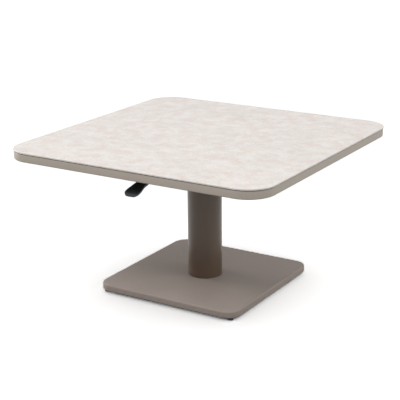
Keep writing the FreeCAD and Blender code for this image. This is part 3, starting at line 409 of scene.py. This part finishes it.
def powder_coat(name, colour, second, roughness, specular=0.5):
    """A baked coat that wavers between two close tones."""
    material, tree, place = new_material(name)
    peel = add(tree, "ShaderNodeTexNoise",
               {"Vector": place, "Scale": per_metre(PEEL_MM), "Detail": 2.0, "Roughness": 0.5})
    speckle = add(tree, "ShaderNodeTexNoise",
                  {"Vector": place, "Scale": per_metre(SPECKLE_MM), "Detail": 1.0})
    haze = add(tree, "ShaderNodeTexNoise",
               {"Vector": place, "Scale": per_metre(HAZE_MM), "Detail": 3.0, "Roughness": 0.55})
    mixed = add(tree, "ShaderNodeMath",
                {0: speckle.outputs["Fac"], 1: haze.outputs["Fac"]}, operation="ADD")
    spread = add(tree, "ShaderNodeMapRange", {"Value": mixed.outputs["Value"], "From Min": 0.7,
                                              "From Max": 1.3})
    tone = add(tree, "ShaderNodeMix", {"Factor": spread.outputs["Result"],
                                       "A": linear(second), "B": linear(colour)},
               data_type="RGBA")
    shine = add(tree, "ShaderNodeMapRange",
                {"Value": haze.outputs["Fac"], "To Min": roughness - COAT_SPREAD,
                 "To Max": roughness + COAT_SPREAD})
    bump = add(tree, "ShaderNodeBump", {"Height": peel.outputs["Fac"], "Strength": 0.2,
                                        "Distance": 0.08 * MM})
    close_material(tree, {"Base Color": tone.outputs["Result"],
                          "Roughness": shine.outputs["Result"],
                          "Normal": bump.outputs["Normal"], "IOR": 1.5,
                          "Specular IOR Level": specular})
    return material


edge_coat = powder_coat("powder_coat_taupe_edge", "b7ada1", "afa599", roughness=0.5)
# The base's tone, darker than the edge's, is partly its own colour and partly painted shade of the
# top above it.
base_coat_painted_shade = powder_coat("powder_coat_taupe_base_painted_shade", "a2968e", "9a8e86", roughness=0.6, specular=0.25)
# The column's dark tone is partly its own colour and partly painted shade, standing in for the
# light that the top keeps off it.
column_coat_painted_shade = powder_coat("powder_coat_taupe_column_painted_shade", "604f40", "59483a", roughness=0.36)
black_coat = powder_coat("powder_coat_black", "1d1d1e", "161617", roughness=0.5)
print("coats:", [coat.name for coat in (edge_coat, base_coat_painted_shade, column_coat_painted_shade, black_coat)])

# %% [markdown]
# ## Bare and plated metals
# Screws, nuts and pins are zinc plated: bright, a little blue, and mottled where the plating bath
# left crystals a few millimetres across. The rod is ground and chromed, the inner column is
# anodised aluminium with lines drawn along it by the extrusion die, and the head is die cast.

# %% Metals
METAL_BRIGHTER = 0.06
METAL_DULLER = 0.08
DRAW_LINE_MM = 0.8
DRAW_RUN_MM = 400


def mottled_metal(name, light, dark, roughness, crystal_mm):
    """A metal skin of crystals, with a gloss that clouds over twice their size."""
    material, tree, place = new_material(name)
    crystal = add(tree, "ShaderNodeTexVoronoi", {"Vector": place, "Scale": per_metre(crystal_mm)})
    tone = add(tree, "ShaderNodeMix", {"Factor": crystal.outputs["Distance"],
                                       "A": linear(dark), "B": linear(light)}, data_type="RGBA")
    cloud = add(tree, "ShaderNodeTexNoise", {"Vector": place, "Scale": per_metre(2 * crystal_mm)})
    shine = add(tree, "ShaderNodeMapRange",
                {"Value": cloud.outputs["Fac"], "To Min": roughness - METAL_BRIGHTER,
                 "To Max": roughness + METAL_DULLER})
    bump = add(tree, "ShaderNodeBump", {"Height": cloud.outputs["Fac"], "Strength": 0.15,
                                        "Distance": 0.1 * MM})
    close_material(tree, {"Base Color": tone.outputs["Result"], "Metallic": 1.0,
                          "Roughness": shine.outputs["Result"],
                          "Normal": bump.outputs["Normal"]})
    return material


def drawn_aluminium():
    """Anodised extrusion: lines along Z, because the die draws them along the bar."""
    material, tree, place = new_material("anodised_extrusion")
    stretch = add(tree, "ShaderNodeMapping", {"Vector": place, "Scale": (
        per_metre(DRAW_LINE_MM), per_metre(DRAW_LINE_MM), per_metre(DRAW_RUN_MM))})
    lines = add(tree, "ShaderNodeTexNoise", {"Vector": stretch.outputs["Vector"], "Scale": 1.0,
                                             "Detail": 3.0})
    tone = add(tree, "ShaderNodeMix", {"Factor": lines.outputs["Fac"], "A": linear("a3a5a7"),
                                       "B": linear("c6c8ca")}, data_type="RGBA")
    shine = add(tree, "ShaderNodeMapRange", {"Value": lines.outputs["Fac"], "To Min": 0.3,
                                             "To Max": 0.45})
    bump = add(tree, "ShaderNodeBump", {"Height": lines.outputs["Fac"], "Strength": 0.1,
                                        "Distance": 0.05 * MM})
    close_material(tree, {"Base Color": tone.outputs["Result"], "Metallic": 1.0,
                          "Roughness": shine.outputs["Result"],
                          "Normal": bump.outputs["Normal"]})
    return material


zinc = mottled_metal("zinc_plate", "c5c8cc", "9ea2a7", roughness=0.34, crystal_mm=3)
chrome = mottled_metal("ground_chrome", "d6d8da", "c4c6c9", roughness=0.12, crystal_mm=6)
die_cast = mottled_metal("die_cast_aluminium", "9b9d9f", "838587", roughness=0.5, crystal_mm=2)
extrusion = drawn_aluminium()
print("metals:", [metal.name for metal in (zinc, chrome, die_cast, extrusion)])

# %% [markdown]
# ## Moulded plastics
# The grip, the guide bush, the guide ring and the glides are injection moulded in black nylon.
# The tool is spark eroded, which leaves a fine even grain that scatters light and turns black
# into a very dark grey at a low angle.

# %% Moulded nylon
SPARK_GRAIN_MM = 0.7
FLOW_MM = 26
NYLON_ROUGHNESS = 0.5
NYLON_SPREAD = 0.06


def moulded_nylon():
    """Black nylon that is a little lighter where the melt flowed slowly."""
    material, tree, place = new_material("moulded_nylon_black")
    grain = add(tree, "ShaderNodeTexVoronoi", {"Vector": place,
                                               "Scale": per_metre(SPARK_GRAIN_MM)},
                feature="SMOOTH_F1")
    flow = add(tree, "ShaderNodeTexNoise", {"Vector": place, "Scale": per_metre(FLOW_MM),
                                            "Detail": 3.0})
    tone = add(tree, "ShaderNodeMix", {"Factor": flow.outputs["Fac"], "A": linear("24282c"),
                                       "B": linear("343a40")}, data_type="RGBA")
    shine = add(tree, "ShaderNodeMapRange",
                {"Value": flow.outputs["Fac"], "To Min": NYLON_ROUGHNESS - NYLON_SPREAD,
                 "To Max": NYLON_ROUGHNESS + NYLON_SPREAD})
    bump = add(tree, "ShaderNodeBump", {"Height": grain.outputs["Distance"], "Strength": 0.2,
                                        "Distance": 0.08 * MM})
    close_material(tree, {"Base Color": tone.outputs["Result"],
                          "Roughness": shine.outputs["Result"],
                          "Normal": bump.outputs["Normal"], "IOR": 1.53})
    return material


nylon = moulded_nylon()
print(nylon.name, "with a grain of", SPARK_GRAIN_MM, "mm")

# %% [markdown]
# ## The core panel
# Under the thin sheet lies a pressed wood-fibre panel, seen only from below. Its face is a flat
# brown of matted fibres about 6 mm long, with darker flecks of bark.

# %% Fibre panel
FIBRE_MM = 6
FLECK_MM = 3


def fibre_panel():
    """Matted brown fibres with a few dark flecks."""
    material, tree, place = new_material("pressed_fibre_panel")
    fibre = add(tree, "ShaderNodeTexNoise", {"Vector": place, "Scale": per_metre(FIBRE_MM),
                                             "Detail": 6.0, "Roughness": 0.7, "Distortion": 1.2})
    fleck = add(tree, "ShaderNodeTexNoise", {"Vector": place, "Scale": per_metre(FLECK_MM),
                                             "Detail": 2.0})
    tone = add(tree, "ShaderNodeValToRGB", {"Fac": fibre.outputs["Fac"]})
    tone.color_ramp.elements[0].position = 0.3
    tone.color_ramp.elements[0].color = linear("4a3d33")
    tone.color_ramp.elements[1].position = 0.7
    tone.color_ramp.elements[1].color = linear("65564a")
    dots = add(tree, "ShaderNodeMapRange", {"Value": fleck.outputs["Fac"], "From Min": 0.62,
                                            "From Max": 0.72})
    flecked = add(tree, "ShaderNodeMix", {"Factor": dots.outputs["Result"],
                                          "A": tone.outputs["Color"], "B": linear("2e241d")},
                  data_type="RGBA")
    bump = add(tree, "ShaderNodeBump", {"Height": fibre.outputs["Fac"], "Strength": 0.3,
                                        "Distance": 0.2 * MM})
    close_material(tree, {"Base Color": flecked.outputs["Result"], "Roughness": 0.8,
                          "Normal": bump.outputs["Normal"], "IOR": 1.45})
    return material


fibre = fibre_panel()
print(fibre.name, "with fibres of", FIBRE_MM, "mm")

# %% [markdown]
# ## Who wears what
# Each finish was made once and is given to every piece that has it. A CAD piece keeps its shape
# and only changes its material.

# %% Give out the finishes
DRESS = {
    black_coat: ["base_plate", "column_flange", "mounting_plate", "crossbar_left",
                 "crossbar_right", "release_arm", "gas_spring_cylinder"],
    zinc: ["cover_standoffs", "flange_screws", "glide_nuts", "bush_screws", "clamp_screws",
           "gas_spring_nut", "gas_spring_gland", "rod_locknut", "head_screws", "release_pin",
           "lever_pivot_pin", "paddle_pins", "bar_screws", "panel_screws"],
    chrome: ["gas_spring_rod"],
    die_cast: ["release_head"],
    extrusion: ["inner_column"],
    nylon: ["upper_guide_bush", "lower_guide_ring", "gas_spring_piston", "lever_paddle"],
    fibre: ["support_panel"],
}
for corner in ("front_left", "front_right", "rear_left", "rear_right"):
    DRESS[nylon].append(f"glide_pad_{corner}")
    DRESS[zinc].append(f"glide_stud_{corner}")


def wear(piece, material):
    """Give a piece one material in place of whatever it had."""
    piece.data.materials.clear()
    piece.data.materials.append(material)


for material, names in DRESS.items():
    for name in names:
        wear(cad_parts[name], material)
wear(top_sheet, stone)
wear(edge_profile, edge_coat)
wear(base_cover, base_coat_painted_shade)
wear(column, column_coat_painted_shade)
print("dressed CAD pieces:", sum(len(names) for names in DRESS.values()))

# %% [markdown]
# ## Floor and light
# A plain pale floor and even studio light show the form and leave the colours alone. What the
# camera sees of the floor, directly or in a gloss, is lifted to a clean white, while the light
# that it throws back on the table stays that of a pale grey floor. The lift follows the light
# that falls there, so the soft shadow under the base still shows. Near the column it is stronger,
# where the top keeps off some of the light. That is painted light, a pool that takes out most of
# the top's shadow on the floor.

# %% Floor
WHITE = (1.0, 1.0, 1.0, 1.0)
FLOOR_SIZE = 30.0
FLOOR_GREY = "909090"
FLOOR_GLOW = 0.12
OPEN_LIFT = 1.45
NEAR_LIFT = 2.25
NEAR_REACH = 0.45
OPEN_REACH = 1.1


def ray_is(tree, *kinds):
    """A socket that gives 1 to the rays of these kinds and 0 to all others."""
    path = add(tree, "ShaderNodeLightPath")
    found = path.outputs[kinds[0]]
    for kind in kinds[1:]:
        found = add(tree, "ShaderNodeMath", {0: found, 1: path.outputs[kind]},
                    operation="MAXIMUM").outputs["Value"]
    return found


floor_mesh = bpy.data.meshes.new("studio_floor")
reach = FLOOR_SIZE / 2
floor_mesh.from_pydata([(-reach, -reach, 0), (reach, -reach, 0), (reach, reach, 0),
                        (-reach, reach, 0)], [], [(0, 1, 2, 3)])
floor = bpy.data.objects.new("studio_floor", floor_mesh)
bpy.context.scene.collection.objects.link(floor)

floor_paint, tree, place = new_material("studio_floor_paint")
seen = ray_is(tree, "Is Camera Ray", "Is Glossy Ray")
glow = add(tree, "ShaderNodeMath", {0: seen, 1: FLOOR_GLOW}, operation="MULTIPLY")
paint = add(tree, "ShaderNodeBsdfPrincipled",
            {"Base Color": linear(FLOOR_GREY), "Roughness": 0.9, "Specular IOR Level": 0.0,
             "Emission Color": WHITE, "Emission Strength": glow.outputs["Value"]})
distance = add(tree, "ShaderNodeVectorMath", {0: place}, operation="LENGTH")
# Painted light: near the column the lift rises and takes out the top's shadow on the floor.
painted_light_pool = add(tree, "ShaderNodeMapRange",
           {"Value": distance.outputs["Value"], "From Min": NEAR_REACH, "From Max": OPEN_REACH,
            "To Min": NEAR_LIFT, "To Max": OPEN_LIFT}, interpolation_type="SMOOTHSTEP")
lift = add(tree, "ShaderNodeMath", {0: seen, 1: painted_light_pool.outputs["Result"]}, operation="MULTIPLY")
bright = add(tree, "ShaderNodeBsdfDiffuse", {"Color": lift.outputs["Value"]})
both = add(tree, "ShaderNodeAddShader")
tree.links.new(paint.outputs["BSDF"], both.inputs[0])
tree.links.new(bright.outputs["BSDF"], both.inputs[1])
add(tree, "ShaderNodeOutputMaterial", {"Surface": both.outputs["Shader"]})
floor.data.materials.append(floor_paint)
print("floor lift:", NEAR_LIFT, "near the column and", OPEN_LIFT, "in the open")

# %% [markdown]
# ## Soft light from all round
# The world gives most of the light, evenly from all sides, as a white room would. What the camera
# sees of it, directly, in a gloss or through something clear, is plain white.

# %% Room light
AMBIENT = 0.56
world = bpy.data.worlds.new("studio_world")
bpy.context.scene.world = world
world.use_nodes = True
tree = world.node_tree
tree.nodes.clear()
seen = ray_is(tree, "Is Camera Ray", "Is Glossy Ray", "Is Transmission Ray")
level = add(tree, "ShaderNodeMapRange", {"Value": seen, "To Min": AMBIENT, "To Max": 1.0})
backdrop = add(tree, "ShaderNodeBackground", {"Color": WHITE,
                                              "Strength": level.outputs["Result"]})
add(tree, "ShaderNodeOutputWorld", {"Surface": backdrop.outputs["Background"]})
print("ambient level", AMBIENT)

# %% [markdown]
# ## Three softboxes
# Large softboxes far off model the form: the front one reaches under the top to the near half of
# the base, and one on each side draws the edges. They are linked to the table only, so that the
# floor keeps the one soft shadow of the room light.

# %% Softboxes
SOFTBOX_SIZE = 2.2
SOFTBOX_AIM = Vector((0, 0, 0.25))
SOFTBOXES = [  # the name, the place in metres and the power in watts
    ("front_softbox", (-0.7, -3.1, 4.1), 106),
    ("left_softbox", (-4.9, 0, 1.3), 108),
    ("right_softbox", (4.15, 1.1, 2.75), 72),
]
spared = bpy.data.collections.new("spared_by_softboxes")
spared.objects.link(floor)
spared.collection_objects[0].light_linking.link_state = "EXCLUDE"


def softbox(name, place, power):
    """A square area lamp that points at the column and leaves the floor alone."""
    data = bpy.data.lights.new(name, "AREA")
    data.shape = "SQUARE"
    data.size = SOFTBOX_SIZE
    data.energy = power
    lamp = bpy.data.objects.new(name, data)
    bpy.context.scene.collection.objects.link(lamp)
    lamp.location = place
    lamp.rotation_mode = "QUATERNION"
    lamp.rotation_quaternion = (SOFTBOX_AIM - Vector(place)).to_track_quat("-Z", "Y")
    lamp.light_linking.receiver_collection = spared


for name, place, power in SOFTBOXES:
    softbox(name, place, power)
print("softboxes:", len(bpy.data.lights))

# %% [markdown]
# ## Camera
# The camera looks at a front corner from a little above, through a long lens, so the square top
# stays almost undistorted. It is placed by turning round a point near the column and stepping
# back.

# %% Camera
AZIMUTH = math.radians(31.786)
ELEVATION = math.radians(17.501)
ROLL = math.radians(-0.538)
DISTANCE = 3.6209
AIM_RIGHT = -0.0152
AIM_HEIGHT = 0.2821
LENS = 100.92
SENSOR = 36.0

back = Vector((math.sin(AZIMUTH) * math.cos(ELEVATION), -math.cos(AZIMUTH) * math.cos(ELEVATION),
               math.sin(ELEVATION)))
right = Vector((math.cos(AZIMUTH), math.sin(AZIMUTH), 0))
up = back.cross(right)
rolled_right = right * math.cos(ROLL) + up * math.sin(ROLL)
rolled_up = up * math.cos(ROLL) - right * math.sin(ROLL)
aim = right * AIM_RIGHT + Vector((0, 0, AIM_HEIGHT))

camera_data = bpy.data.cameras.new("studio_camera")
camera_data.lens = LENS
camera_data.sensor_width = SENSOR
camera = bpy.data.objects.new("studio_camera", camera_data)
bpy.context.scene.collection.objects.link(camera)
turned = Matrix((rolled_right, rolled_up, back)).transposed().to_4x4()
camera.matrix_world = Matrix.Translation(aim + back * DISTANCE) @ turned
bpy.context.scene.camera = camera
bpy.context.scene.view_settings.view_transform = "Standard"
print("camera at", [round(c, 3) for c in camera.location])
